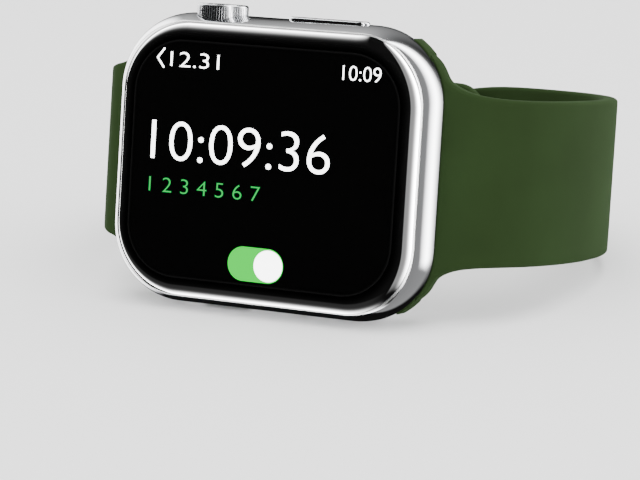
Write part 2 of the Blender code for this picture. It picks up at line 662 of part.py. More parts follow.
def make_band(looks, frame):
    pin_strap = mirrored(strap_solid(strap_stations(PIN_SIDE, PIN_LAYER, pin_strap_tail())))
    pin_strap = add_part("strap_with_pin", pin_strap, looks["silicone"], frame, smooth=50.0)
    cut_latch_pocket(pin_strap, -1, "12", frame)
    slot = slab((6.2 * mm, 8.75 * mm), 2.0 * mm, -3 * mm, 3 * mm, steps=4)
    cut(pin_strap, make_cutter("cut_tuck_slot", slot, frame, (SLOT_MIDDLE, PIN_LAYER, 0)))
    seat = cylinder(1.5 * mm, 8 * mm, "Y", 20)
    cut(pin_strap, make_cutter("cut_pin_seat", seat, frame, (PIN_X, PIN_LAYER, 0)))

    stations = strap_stations(HOLE_SIDE, PIN_LAYER + LAYER_STEP, hole_strap_tail())
    hole_strap = add_part("strap_with_holes", strap_solid(stations), looks["silicone"], frame, smooth=50.0)
    cut_latch_pocket(hole_strap, 1, "6", frame)
    cut_band_holes(hole_strap, stations, frame)

    skin, top = -BAND_HALF_THICK - 1.0 * mm, LAYER_STEP + BAND_HALF_THICK + 0.9 * mm
    pin = stacked(
        [
            (2.6 * mm, skin), (2.9 * mm, skin + 0.2 * mm), (2.9 * mm, skin + 0.7 * mm), (1.2 * mm, skin + 0.7 * mm),
            (1.2 * mm, top - 0.6 * mm), (1.75 * mm, top - 0.6 * mm), (1.75 * mm, top - 0.2 * mm), (1.5 * mm, top),
        ],
        "Y", 28,
    )
    add_part("clasp_pin", pin, looks["steel"], frame, (PIN_X, PIN_LAYER, 0))


def make_release(looks, frame):
    for side, end in ((-1, "12"), (1, "6")):
        button = slab((0.85 * mm, 4.0 * mm), 0.8 * mm, 0.0, 0.55 * mm, steps=4, edge=0.12 * mm)
        place = (side * RELEASE_X, LUG_DEPTH + 1.95 * mm, 0)
        add_part(f"release_button_{end}", button, looks["steel"], frame, place)
        bead = box((1.2 * mm, 1.5 * mm, 7.0 * mm), 0.15 * mm)
        place = (side * RELEASE_X, LUG_DEPTH + 0.85 * mm, 0)
        add_part(f"latch_bead_{end}", bead, looks["brushed"], frame, place)


def make_frame():
    frame = bpy.data.objects.new("watch_frame", None)
    parts.objects.link(frame)
    lean = math.atan2(CASE_WIDTH / 2 - BAND_HALF_WIDTH, PIN_LAYER + LAYER_STEP + BAND_HALF_THICK - MID_DEPTH)
    frame.rotation_euler = (-lean, 0, 0)
    return frame


def stand_on_origin(frame):
    """Moves the watch so that the origin is under the middle of its bounding box, on the floor."""
    bpy.context.view_layer.update()
    graph = bpy.context.evaluated_depsgraph_get()
    low, high = Vector((1, 1, 1)), Vector((-1, -1, -1))
    for item in parts.objects:
        if item.type != "MESH":
            continue
        shown = item.evaluated_get(graph)
        for vert in shown.data.vertices:
            place = shown.matrix_world @ vert.co
            low = Vector(map(min, low, place))
            high = Vector(map(max, high, place))
    frame.location = (-(low.x + high.x) / 2, -(low.y + high.y) / 2, -low.z)
    bpy.context.view_layer.update()


def main():
    clear_scene()
    looks = make_materials()
    frame = make_frame()
    make_case(looks, frame)
    make_display(looks, frame)
    make_core(looks, frame)
    make_haptic(looks, frame)
    make_speaker(looks, frame)
    make_back(looks, frame)
    make_crown(looks, frame)
    make_side_button(looks, frame)
    make_band(looks, frame)
    make_release(looks, frame)
    stand_on_origin(frame)


main()
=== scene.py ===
import math

import bmesh
import bpy
from mathutils import Matrix, Vector
from mathutils.geometry import interpolate_bezier


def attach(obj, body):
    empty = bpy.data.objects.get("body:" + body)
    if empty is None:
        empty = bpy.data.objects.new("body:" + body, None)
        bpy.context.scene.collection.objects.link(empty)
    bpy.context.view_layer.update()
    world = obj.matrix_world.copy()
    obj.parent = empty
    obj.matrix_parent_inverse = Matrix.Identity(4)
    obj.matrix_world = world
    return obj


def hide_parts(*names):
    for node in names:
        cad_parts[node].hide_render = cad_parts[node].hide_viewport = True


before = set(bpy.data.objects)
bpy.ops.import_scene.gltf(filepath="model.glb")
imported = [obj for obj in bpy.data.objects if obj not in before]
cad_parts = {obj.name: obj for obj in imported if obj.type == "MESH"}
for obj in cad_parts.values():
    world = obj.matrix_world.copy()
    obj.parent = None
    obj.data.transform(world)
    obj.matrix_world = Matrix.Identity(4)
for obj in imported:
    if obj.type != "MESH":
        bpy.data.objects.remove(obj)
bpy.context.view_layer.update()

mm = 0.001

# Pieces are modelled upright, with X along the case, Y from the display into the wrist loop and Z up to
# the crown side. standUp then leans the watch back onto its band, where the frame has it.
watch = dict(lean=math.radians(10.305), seat=Vector((0, -25.5365, 20.1471)) * mm)


# Small tools

def deselectAll():
    if bpy.context.mode != "OBJECT":
        bpy.ops.object.mode_set(mode="OBJECT")
    bpy.ops.object.select_all(action="DESELECT")


def nameNew(name):
    piece = bpy.context.active_object
    piece.name = name
    piece.data.name = name
    bpy.ops.object.transform_apply(location=True, rotation=True, scale=True)
    return piece


def addBlock(name, size, middle):
    deselectAll()
    bpy.ops.mesh.primitive_cube_add(size=1, location=middle, scale=size)
    return nameNew(name)


def addCylinder(name, radius, depth, middle, axis="Z", sides=96):
    deselectAll()
    turn = (math.pi / 2, 0, 0) if axis == "Y" else (0, 0, 0)
    bpy.ops.mesh.primitive_cylinder_add(vertices=sides, radius=radius, depth=depth, location=middle,
                                        rotation=turn)
    return nameNew(name)


def work(piece):
    deselectAll()
    piece.select_set(True)
    bpy.context.view_layer.objects.active = piece
    bpy.ops.object.mode_set(mode="EDIT")


def pick(piece, kind, test):
    # selects the faces or edges, by their middle and their normal or direction
    mesh = bmesh.from_edit_mesh(piece.data)
    bpy.context.tool_settings.mesh_select_mode = (False, kind == "EDGE", kind == "FACE")
    mesh.select_mode = {kind}
    for item in (*mesh.verts, *mesh.edges, *mesh.faces):
        item.select = False
    if kind == "FACE":
        for face in mesh.faces:
            face.select_set(bool(test(face.calc_center_median(), face.normal)))
    else:
        for edge in mesh.edges:
            first, second = (vert.co for vert in edge.verts)
            edge.select_set(bool(test((first + second) / 2, (second - first).normalized())))
    mesh.select_flush_mode()
    bmesh.update_edit_mesh(piece.data)


def bevelEdges(piece, test, width, segments):
    pick(piece, "EDGE", test)
    bpy.ops.mesh.bevel(offset=width, segments=segments, affect="EDGES", clamp_overlap=False)


def stepFace(steps):
    # each step insets the selected face and lifts it along its normal
    for inset, lift in steps:
        bpy.ops.mesh.inset(thickness=inset, depth=lift, use_even_offset=True)


def modify(piece, kind, **settings):
    bpy.ops.object.mode_set(mode="OBJECT")
    deselectAll()
    piece.select_set(True)
    bpy.context.view_layer.objects.active = piece
    modifier = piece.modifiers.new(kind.title(), kind)
    for key, value in settings.items():
        setattr(modifier, key, value)
    bpy.ops.object.modifier_apply(modifier=modifier.name)


def carve(piece, cutter, operation="DIFFERENCE"):
    modify(piece, "BOOLEAN", object=cutter, operation=operation, solver="EXACT")
    bpy.data.objects.remove(cutter, do_unlink=True)


def softenRims(piece, width, segments=2, angle=40):
    modify(piece, "WELD", merge_threshold=0.000002)
    modify(piece, "BEVEL", width=width, segments=segments, limit_method="ANGLE",
           angle_limit=math.radians(angle))


def standUp(piece):
    deselectAll()
    piece.select_set(True)
    bpy.context.view_layer.objects.active = piece
    piece.rotation_euler = (-watch["lean"], 0, 0)
    piece.location = watch["seat"]
    bpy.ops.object.transform_apply(location=True, rotation=True, scale=True)


def finish(piece, body, nodes, look, angle):
    standUp(piece)
    bpy.ops.object.shade_smooth_by_angle(angle=math.radians(angle))
    piece.data.materials.clear()
    piece.data.materials.append(look)
    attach(piece, body)
    if nodes:
        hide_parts(*nodes)


# Materials

def linear(hexColour):
    # an sRGB colour such as "3c5230" as linear light
    channels = [int(hexColour[i:i + 2], 16) / 255 for i in (0, 2, 4)]
    lit = [c / 12.92 if c <= 0.04045 else ((c + 0.055) / 1.055) ** 2.4 for c in channels]
    return (*lit, 1.0)


def newLook(name, **settings):
    look = bpy.data.materials.new(name)
    look.use_nodes = True
    shader = look.node_tree.nodes["Principled BSDF"]
    for key, value in settings.items():
        shader.inputs[key.replace("_", " ")].default_value = value
    return look, look.node_tree, shader


def addNode(tree, kind, settings=None, links=None):
    # settings go to sockets by name, or else to the node itself; links are socket name: output
    node = tree.nodes.new("ShaderNode" + kind)
    for key, value in (settings or {}).items():
        if isinstance(key, str) and hasattr(node, key):
            setattr(node, key, value)
        else:
            node.inputs[key].default_value = value
    for key, output in (links or {}).items():
        tree.links.new(output, node.inputs[key])
    return node


def objectPoint(tree):
    return addNode(tree, "TexCoord").outputs["Object"]


def bump(tree, shader, height, distance, strength=1.0):
    node = addNode(tree, "Bump", {"Strength": strength, "Distance": distance}, {"Height": height})
    tree.links.new(node.outputs["Normal"], shader.inputs["Normal"])


def ramp(tree, value, stops):
    node = addNode(tree, "ValToRGB", links={"Fac": value})
    while len(node.color_ramp.elements) < len(stops):
        node.color_ramp.elements.new(0.5)
    for element, (place, colour) in zip(node.color_ramp.elements, stops):
        element.position = place
        element.color = colour
    return node.outputs["Color"]


def steelLook():
    # stainless steel, mirror polished: clear reflections with the faintest haze of hand polishing
    settings = dict(base="d3d4d6", rough=(0.05, 0.11), hazeSize=6 * mm, scratchSize=0.4 * mm)
    look, tree, shader = newLook("mirrorPolishedSteel", Base_Color=linear(settings["base"]), Metallic=1.0)
    point = objectPoint(tree)
    haze = addNode(tree, "TexNoise", {"Scale": 1 / settings["hazeSize"], "Detail": 3.0}, {"Vector": point})
    span = addNode(tree, "MapRange", {"To Min": settings["rough"][0], "To Max": settings["rough"][1]},
                   {"Value": haze.outputs["Fac"]})
    tree.links.new(span.outputs["Result"], shader.inputs["Roughness"])
    scratch = addNode(tree, "TexNoise", {"Scale": 1 / settings["scratchSize"], "Detail": 2.0},
                      {"Vector": point})
    bump(tree, shader, scratch.outputs["Fac"], 0.00001, 0.12)
    return look


def rimLook():
    # the case's front rim: a narrow satin chamfer that catches light all the way round
    look, tree, shader = newLook("satinSteelRim", Base_Color=linear("f2f2f2"), Metallic=1.0, Roughness=0.3)
    point = objectPoint(tree)
    grain = addNode(tree, "TexNoise", {"Scale": 1 / (0.3 * mm), "Detail": 2.0}, {"Vector": point})
    bump(tree, shader, grain.outputs["Fac"], 0.00001, 0.2)
    return look


def knurlLook():
    # the crown: turned steel, satin in its grooves and bright on the tips
    look, tree, shader = newLook("turnedSteelCrown", Base_Color=linear("c9cacc"), Metallic=1.0)
    point = objectPoint(tree)
    haze = addNode(tree, "TexNoise", {"Scale": 1 / (0.8 * mm), "Detail": 3.0}, {"Vector": point})
    span = addNode(tree, "MapRange", {"To Min": 0.14, "To Max": 0.26}, {"Value": haze.outputs["Fac"]})
    tree.links.new(span.outputs["Result"], shader.inputs["Roughness"])
    return look


def brushedLook():
    # stainless steel with a fine straight brushing, as on stamped brackets and shafts
    look, tree, shader = newLook("brushedSteel", Base_Color=linear("b4b5b8"), Metallic=1.0, Roughness=0.32)
    point = objectPoint(tree)
    stretched = addNode(tree, "Mapping", {"Scale": (1.0, 30.0, 30.0)}, {"Vector": point})
    line = addNode(tree, "TexNoise", {"Scale": 1 / (3 * mm), "Detail": 4.0},
                   {"Vector": stretched.outputs["Vector"]})
    bump(tree, shader, line.outputs["Fac"], 0.00002, 0.25)
    return look


def uprightPoint(tree):
    # the watch's lean taken out: X along the case, Y behind the front of the display, Z to the crown side
    upright = addNode(tree, "Mapping", {"vector_type": "TEXTURE", "Location": tuple(watch["seat"]),
                                        "Rotation": (-watch["lean"], 0, 0)}, {"Vector": objectPoint(tree)})
    return addNode(tree, "SeparateXYZ", links={"Vector": upright.outputs["Vector"]}).outputs


def glassLook():
    # the front crystal: hard glass over black, with a film that kills head-on reflections; its rounded
    # edge carries a painted reflection, lighter and more metallic towards the metal
    look, tree, shader = newLook("blackCrystalGlassPaintedEdgeReflection", IOR=1.3)
    depth = uprightPoint(tree)["Y"]
    edge = addNode(tree, "MapRange", {"interpolation_type": "SMOOTHSTEP", "From Min": 0.03 * mm,
                                      "From Max": 0.45 * mm}, {"Value": depth}).outputs["Result"]
    # painted reflection: the base colour goes from near black on the face to near white on the rounded edge
    tint = ramp(tree, edge, ((0.0, linear("030303")), (1.0, linear("e8e8e8"))))
    tree.links.new(tint, shader.inputs["Base Color"])
    # painted reflection as well: the edge turns metallic, so its near white colour mirrors the room as the
    # glass itself would not
    mirror = addNode(tree, "MapRange", {"From Min": 0.01 * mm, "From Max": 0.08 * mm}, {"Value": depth})
    tree.links.new(mirror.outputs["Result"], shader.inputs["Metallic"])
    smudge = addNode(tree, "TexNoise", {"Scale": 1 / (9 * mm), "Detail": 5.0, "Roughness": 0.6},
                     {"Vector": objectPoint(tree)})
    span = addNode(tree, "MapRange", {"To Min": 0.015, "To Max": 0.05}, {"Value": smudge.outputs["Fac"]})
    tree.links.new(span.outputs["Result"], shader.inputs["Roughness"])
    return look


def siliconeLook():
    # moulded silicone rubber with a soft-touch coat: matt, with a faint chalky sheen at grazing angles
    settings = dict(deep="212f18", pale="25351c", grain=0.12 * mm, mottle=14 * mm)
    look, tree, shader = newLook("softTouchSilicone", Roughness=0.85, IOR=1.42)
    shader.inputs["Specular IOR Level"].default_value = 0.04
    shader.inputs["Sheen Weight"].default_value = 0.04
    shader.inputs["Sheen Roughness"].default_value = 0.45
    shader.inputs["Sheen Tint"].default_value = linear("9fc48a")
    point = objectPoint(tree)
    mottle = addNode(tree, "TexNoise", {"Scale": 1 / settings["mottle"], "Detail": 4.0}, {"Vector": point})
    tint = ramp(tree, mottle.outputs["Fac"],
                ((0.3, linear(settings["deep"])), (0.7, linear(settings["pale"]))))
    tree.links.new(tint, shader.inputs["Base Color"])
    grain = addNode(tree, "TexNoise", {"Scale": 1 / settings["grain"], "Detail": 2.0}, {"Vector": point})
    bump(tree, shader, grain.outputs["Fac"], 0.00003, 0.35)
    return look


def ceramicLook():
    # pressed and polished zirconia: near black, glossy, a trace of orange peel
    look, tree, shader = newLook("blackZirconia", Base_Color=linear("151517"), Roughness=0.16, IOR=1.9)
    point = objectPoint(tree)
    peel = addNode(tree, "TexNoise", {"Scale": 1 / (1.6 * mm), "Detail": 2.0}, {"Vector": point})
    bump(tree, shader, peel.outputs["Fac"], 0.00002, 0.15)
    return look


def plainLook(name, colour, roughness, metallic, grain):
    # a plain moulded, foiled or plated finish with a fine grain of its own size
    look, tree, shader = newLook(name, Roughness=roughness, Metallic=metallic)
    point = objectPoint(tree)
    spots = addNode(tree, "TexNoise", {"Scale": 1 / grain, "Detail": 3.0}, {"Vector": point})
    base = linear(colour)
    dark = tuple(0.75 * c for c in base[:3]) + (1.0,)
    tint = ramp(tree, spots.outputs["Fac"], ((0.35, dark), (0.65, base)))
    tree.links.new(tint, shader.inputs["Base Color"])
    bump(tree, shader, spots.outputs["Fac"], 0.00003, 0.3)
    return look


def glowLook(name, colour, strength):
    # a lit part of the display under the crystal
    look, tree, shader = newLook(name, Base_Color=linear("000000"), Roughness=0.4)
    shader.inputs["Emission Color"].default_value = linear(colour)
    shader.inputs["Emission Strength"].default_value = strength
    return look


looks = dict(
    steel=steelLook(),
    rim=rimLook(),
    knurl=knurlLook(),
    brushed=brushedLook(),
    glass=glassLook(),
    silicone=siliconeLook(),
    ceramic=ceramicLook(),
    rubber=plainLook("sealRubber", "1c1c1c", 0.8, 0.0, 0.4 * mm),
    plastic=plainLook("mouldedNylon", "26272a", 0.5, 0.0, 0.5 * mm),
    board=plainLook("solderMask", "12442a", 0.4, 0.0, 0.6 * mm),
    foil=plainLook("pouchFoil", "a4a6aa", 0.38, 0.7, 1.5 * mm),
    copper=plainLook("enamelledCopper", "b8692f", 0.35, 0.9, 0.3 * mm),
    ferrite=plainLook("sinteredFerrite", "3a3b3e", 0.7, 0.0, 0.3 * mm),
    white=glowLook("litWhite", "ffffff", 7.0),
    green=glowLook("litGreen", "00f040", 1.5),
    paleGreen=glowLook("litPaleGreen", "20e060", 1.1),
)
print("materials ready")


# The outline and side of the case

case = dict(
    length=45.7 * mm, width=38.7 * mm, corner=10.0 * mm, cornerSteps=20,
    mid=5.6 * mm, joint=1.3 * mm, back=9.5 * mm,
    frontRound=4.9 * mm, frontPower=2.6, backRound=4.35 * mm, backPower=2.4,
)


def sideInset(depth):
    # how far the outline stands in from its full size at a depth behind the front
    if depth < case["mid"]:
        reach, rounding, power = case["mid"], case["frontRound"], case["frontPower"]
    else:
        reach, rounding, power = case["back"] - case["mid"], case["backRound"], case["backPower"]
    share = min(abs(depth - case["mid"]) / reach, 1.0)
    return rounding * (1 - (1 - share ** power) ** (1 / power))


def outlineBlock(name, nearDepth, farDepth):
    # a slab with the case's outline at nearDepth, between two depths; the corners tighten less over the bulge
    inset = sideInset(nearDepth)
    gentle = min(inset, sideInset(case["joint"]))
    size = (case["length"] - 2 * inset, farDepth - nearDepth, case["width"] - 2 * inset)
    return slab(name, size, (0, (nearDepth + farDepth) / 2, 0), case["corner"] + 0.55 * gentle - inset,
                case["cornerSteps"])


def followSide(depths):
    # takes the selected end face from depth to depth: drawn out and narrowed over the bulge, then inset
    for start, end in zip(depths, depths[1:]):
        before, after = sideInset(start), sideInset(end)
        if after <= sideInset(case["joint"]) + 0.000001:
            bpy.ops.mesh.extrude_region_move(TRANSFORM_OT_translate={"value": (0, end - start, 0)})
            narrower = (case["length"] - 2 * after) / (case["length"] - 2 * before)
            lower = (case["width"] - 2 * after) / (case["width"] - 2 * before)
            bpy.ops.transform.resize(value=(narrower, 1, lower), center_override=(0, end, 0))
        else:
            narrowing = max(after - before, 0.000001)
            bpy.ops.mesh.inset(thickness=narrowing, depth=abs(end - start), use_even_offset=True)


def slab(name, size, middle, corner, steps=8, axis="Y"):
    piece = addBlock(name, size, middle)
    work(piece)
    index = "XYZ".index(axis)
    bevelEdges(piece, lambda place, along: abs(along[index]) > 0.9, corner, steps)
    bpy.ops.object.mode_set(mode="OBJECT")
    return piece


crown = dict(x=-9.4 * mm, depth=5.2 * mm, radius=3.4 * mm, base=18.3 * mm, top=20.65 * mm, floor=17.9 * mm,
             gap=0.14 * mm, teeth=60)
button = dict(x=6.25 * mm, length=11.4 * mm, breadth=2.4 * mm, bottom=17.95 * mm, top=19.7 * mm, gap=0.1 * mm)
lug = dict(depth=7.0 * mm, floor=17.85 * mm, halfSlot=1.5 * mm, halfMouth=1.1 * mm, shoulder=20.95 * mm,
           bar=(2.3 * mm, 2.5 * mm, 36 * mm), barX=19.3 * mm,
           neck=(4 * mm, 1.8 * mm, 36 * mm), neckX=21.5 * mm)
release = dict(x=19.35 * mm, front=8.95 * mm, back=9.5 * mm, halfWidth=0.85 * mm, halfLength=4.0 * mm,
               gap=0.3 * mm)
backWindow = dict(radius=12.3 * mm, gap=0.3 * mm, half=(17.1 * mm, 14.1 * mm), corner=7.2 * mm)
# cut out of the case from front to back
openings = dict(
    display=dict(size=(40.8 * mm, 4 * mm, 34 * mm), depth=1.4 * mm, corner=9.6 * mm, steps=12),
    cavity=dict(size=(31.4 * mm, 4.8 * mm, 33.8 * mm), depth=5.6 * mm, corner=5 * mm, steps=8),
    back=dict(size=(30 * mm, 4 * mm, 25.2 * mm), depth=9 * mm, corner=6 * mm, steps=8),
    coverRecess=dict(size=(34.8 * mm, 3 * mm, 28.8 * mm), depth=10.2 * mm, corner=7.5 * mm, steps=12),
)
# on the side away from the crown; each hole has a place along X and a radius
ports = dict(
    depth=5 * mm, side=-18 * mm,
    speaker=dict(x=-6 * mm, length=6.8 * mm, breadth=1.3 * mm, corner=0.62 * mm),
    holes=((5.2 * mm, 0.5 * mm), (10.6 * mm, 0.45 * mm)),
)


def makeCase():
    piece = outlineBlock("caseShell", 5.5 * mm, 5.7 * mm)
    work(piece)
    pick(piece, "FACE", lambda middle, normal: normal.y < -0.9)
    followSide([d * mm for d in (5.5, 4.9, 4.2, 3.5, 2.9, 2.4, 2.0, 1.7, 1.5, 1.3)])
    pick(piece, "FACE", lambda middle, normal: normal.y > 0.9)
    followSide([d * mm for d in (5.7, 6.5, 7.2, 7.8, 8.3, 8.7, 9.0, 9.2, 9.35, 9.44, 9.485, 9.5)])
    bpy.ops.object.mode_set(mode="OBJECT")

    for opening in openings.values():
        place = (0, opening["depth"], 0)
        carve(piece, slab("cut", opening["size"], place, opening["corner"], opening["steps"]))

    # a T-shaped slot for the band and a window for the release button at each end
    reach = case["width"] * 1.2
    for side in (-1, 1):
        bar = 2 * lug["halfSlot"]
        mouth = 2 * lug["halfMouth"]
        deep = lug["shoulder"] - lug["floor"]
        place = side * (lug["floor"] + deep / 2)
        carve(piece, addBlock("cut", (deep, bar, reach), (place, lug["depth"], 0)))
        carve(piece, addBlock("cut", (8 * mm, mouth, reach), (side * 22.9 * mm, lug["depth"], 0)))
        size = (2 * (release["halfWidth"] + release["gap"]), 3 * mm,
                2 * (release["halfLength"] + release["gap"]))
        carve(piece, slab("cut", size, (side * release["x"], 9.85 * mm, 0), 1.1 * mm, 6))

    # recesses for the crown, its shaft and the side button, and the ports on the far side
    recess = crown["radius"] + crown["gap"]
    carve(piece, addCylinder("cut", recess, 6 * mm, (crown["x"], crown["depth"], crown["floor"] + 3 * mm)))
    carve(piece, addCylinder("cut", 1.8 * mm, 3 * mm, (crown["x"], crown["depth"], 17 * mm), sides=32))
    gap = 2 * button["gap"]
    size = (button["length"] + gap, button["breadth"] + gap, 5 * mm)
    middle = (button["x"], crown["depth"], 18.5 * mm)
    carve(piece, slab("cut", size, middle, size[1] * 0.49, 10, "Z"))
    speaker = ports["speaker"]
    size = (speaker["length"], speaker["breadth"], 6 * mm)
    middle = (speaker["x"], ports["depth"], ports["side"])
    carve(piece, slab("cut", size, middle, speaker["corner"], 6, "Z"))
    for x, radius in ports["holes"]:
        carve(piece, addCylinder("cut", radius, 6 * mm, (x, ports["depth"], ports["side"]), sides=24))
    softenRims(piece, 0.09 * mm)
    finish(piece, "case", ("case_body",), looks["steel"], 32)
    # the front rim is a finish of its own
    piece.data.materials.append(looks["rim"])
    upright = Matrix.Rotation(watch["lean"], 3, "X")
    for face in piece.data.polygons:
        face.material_index = int((upright @ (face.center - watch["seat"])).y < 1.5 * mm)


def makeCrystal():
    piece = outlineBlock("frontCrystal", 1.24 * mm, 1.3 * mm)
    work(piece)
    pick(piece, "FACE", lambda middle, normal: normal.y < -0.9)
    followSide([d * mm for d in (1.24, 1.0, 0.8, 0.62, 0.46, 0.33, 0.23, 0.15, 0.09, 0.05, 0.02, 0.006, 0.0)])
    bpy.ops.object.mode_set(mode="OBJECT")
    finish(piece, "case", ("front_crystal",), looks["glass"], 40)


makeCase()
makeCrystal()
print("case and crystal ready")


# The lit picture: a way-back mark, a date, clock digits, a row of day numbers and a switch

screen = dict(front=-0.012 * mm, lift=0.008 * mm)


def onScreen(piece, look):
    finish(piece, "case", (), look, 30)


def screenText(name, words, height, ends, middle, look):
    # flat numbers, made to fill the space between two ends
    deselectAll()
    bpy.ops.object.text_add(location=(0, 0, 0))
    piece = bpy.context.active_object
    piece.name = name
    piece.data.body = words
    piece.data.offset = -0.012
    piece.data.resolution_u = 6
    bpy.ops.object.convert(target="MESH")
    piece = bpy.context.active_object
    corners = [vert.co for vert in piece.data.vertices]
    low = Vector((min(c.x for c in corners), min(c.y for c in corners), 0))
    high = Vector((max(c.x for c in corners), max(c.y for c in corners), 0))
    wide, tall = (ends[1] - ends[0]) / (high.x - low.x), height / (high.y - low.y)
    piece.scale = (wide, tall, 1)
    piece.rotation_euler = (math.pi / 2, 0, 0)
    piece.location = (ends[0] - low.x * wide, screen["front"], middle - tall * (low.y + high.y) / 2)
    bpy.ops.object.transform_apply(location=True, rotation=True, scale=True)
    modify(piece, "SOLIDIFY", thickness=screen["lift"], offset=0)
    onScreen(piece, look)


def screenPill(name, length, height, middle, look, lift=0.0):
    size = (length, screen["lift"], height)
    place = (middle[0], screen["front"] - lift, middle[1])
    piece = slab(name, size, place, height * 0.495, 16)
    onScreen(piece, look)


def makeScreen():
    # way-back mark: two short bars that meet at the left
    for side in (-1, 1):
        bar = slab("backMark_" + ("low" if side < 0 else "high"), (1.75 * mm, screen["lift"], 0.24 * mm),
                   (0, screen["front"], 0), 0.1 * mm, 4)
        bar.rotation_euler = (0, -side * math.radians(52), 0)
        bar.location = (-15.55 * mm, 0, 13.2 * mm + side * 0.62 * mm)
        deselectAll()
        bar.select_set(True)
        bpy.context.view_layer.objects.active = bar
        bpy.ops.object.transform_apply(location=True, rotation=True, scale=True)
        onScreen(bar, looks["white"])
    screenText("dateNumbers", "12.31", 1.95 * mm, (-14.1 * mm, -6.9 * mm), 13.15 * mm, looks["white"])
    screenText("smallClock", "10:09", 1.9 * mm, (10.95 * mm, 16.4 * mm), 13.15 * mm, looks["white"])
    screenText("largeClock", "10:09:36", 5.2 * mm, (-16.3 * mm, 9.9 * mm), 2.35 * mm, looks["white"])
    screenText("dayNumbers", "1 2 3 4 5 6 7", 1.95 * mm, (-16.3 * mm, 0.15 * mm), -3.6 * mm,
               looks["paleGreen"])
    screenPill("switchTrack", 8.1 * mm, 4.55 * mm, (0.1 * mm, -12.9 * mm), looks["green"])
    screenPill("switchKnob", 4.15 * mm, 4.15 * mm, (1.95 * mm, -12.9 * mm), looks["white"], 0.02 * mm)


makeScreen()
print("screen ready")


# Crown and side button

def makeCrown():
    height = crown["top"] - crown["base"]
    middle = (crown["x"], crown["depth"], crown["base"] + height / 2)
    piece = addCylinder("crownCap", crown["radius"], height, middle, sides=2 * crown["teeth"])
    work(piece)
    outer, inner = crown["top"] - 0.01 * mm, crown["base"] + 0.01 * mm
    bevelEdges(piece, lambda place, along: abs(along.z) < 0.1 and place.z > outer, 0.28 * mm, 3)
    bevelEdges(piece, lambda place, along: abs(along.z) < 0.1 and place.z < inner, 0.2 * mm, 2)

    def groove(place, normal):
        angle = math.atan2(place.y - crown["depth"], place.x - crown["x"])
        turn = int(round(angle / (2 * math.pi) * 2 * crown["teeth"] - 0.5))
        return abs(normal.z) < 0.2 and turn % 2 == 0

    pick(piece, "FACE", groove)
    bpy.ops.mesh.inset(thickness=0.035 * mm, depth=-0.13 * mm, use_individual=True)
    pick(piece, "FACE", lambda place, normal: normal.z > 0.98 and place.z > outer)
    # a fine ring groove round a slightly raised middle
    stepFace(((0.35 * mm, 0.0), (0.05 * mm, -0.04 * mm), (0.12 * mm, 0.0), (0.05 * mm, 0.06 * mm),
              (1.2 * mm, 0.03 * mm)))
    bpy.ops.object.mode_set(mode="OBJECT")
    finish(piece, "crown", ("crown_cap",), looks["knurl"], 28)


def makeSideButton():
    height = button["top"] - button["bottom"]
    size = (button["length"], button["breadth"], height)
    middle = (button["x"], crown["depth"], button["bottom"] + height / 2)
    piece = slab("sideButton", size, middle, button["breadth"] * 0.49, 14, "Z")
    work(piece)
    top = button["top"] - 0.01 * mm
    bevelEdges(piece, lambda place, along: abs(along.z) < 0.1 and place.z > top, 0.32 * mm, 5)
    bpy.ops.object.mode_set(mode="OBJECT")
    finish(piece, "side_button", ("side_button_cap",), looks["steel"], 32)


makeCrown()
makeSideButton()
print("crown and side button ready")


# Back: ceramic cover, domed crystal and the two release buttons

def sensorGlassLook():
    # sapphire over a black mask: four dark windows and two thin rings show through it
    look, tree, shader = newLook("sapphireSensorGlass", Roughness=0.04, IOR=1.77)
    point = uprightPoint(tree)
    flat = addNode(tree, "CombineXYZ", links={"X": point["X"], "Y": point["Z"]})
    reach = addNode(tree, "VectorMath", {"operation": "LENGTH"}, {0: flat.outputs["Vector"]})
    rings = ramp(tree, addNode(tree, "Math", {"operation": "DIVIDE", 1: 13 * mm},
                               {0: reach.outputs["Value"]}).outputs["Value"],
                 ((0.0, linear("0b0b0d")), (0.27, linear("0b0b0d")), (0.275, linear("46474b")),
                  (0.285, linear("0a0a0c")), (0.62, linear("0a0a0c")), (0.63, linear("55565a")),
                  (0.645, linear("0c0c0e")), (0.99, linear("0c0c0e"))))
    wheel = addNode(tree, "Math", {"operation": "ARCTAN2"}, {0: point["X"], 1: point["Z"]})
    lobes = addNode(tree, "Math", {"operation": "MULTIPLY", 1: 4.0}, {0: wheel.outputs["Value"]})
    wave = addNode(tree, "Math", {"operation": "COSINE"}, {0: lobes.outputs["Value"]})
    belt = addNode(tree, "Math", {"operation": "COMPARE", 1: 5.6 * mm, 2: 1.5 * mm},
                   {0: reach.outputs["Value"]})
    sector = addNode(tree, "Math", {"operation": "GREATER_THAN", 1: -0.15}, {0: wave.outputs["Value"]})
    window = addNode(tree, "Math", {"operation": "MULTIPLY"},
                     {0: belt.outputs["Value"], 1: sector.outputs["Value"]})
    mix = addNode(tree, "Mix", {"data_type": "RGBA"})
    tree.links.new(window.outputs["Value"], mix.inputs["Factor"])
    tree.links.new(rings, mix.inputs[6])
    mix.inputs[7].default_value = linear("1d2a24")
    tree.links.new(mix.outputs[2], shader.inputs["Base Color"])
    return look


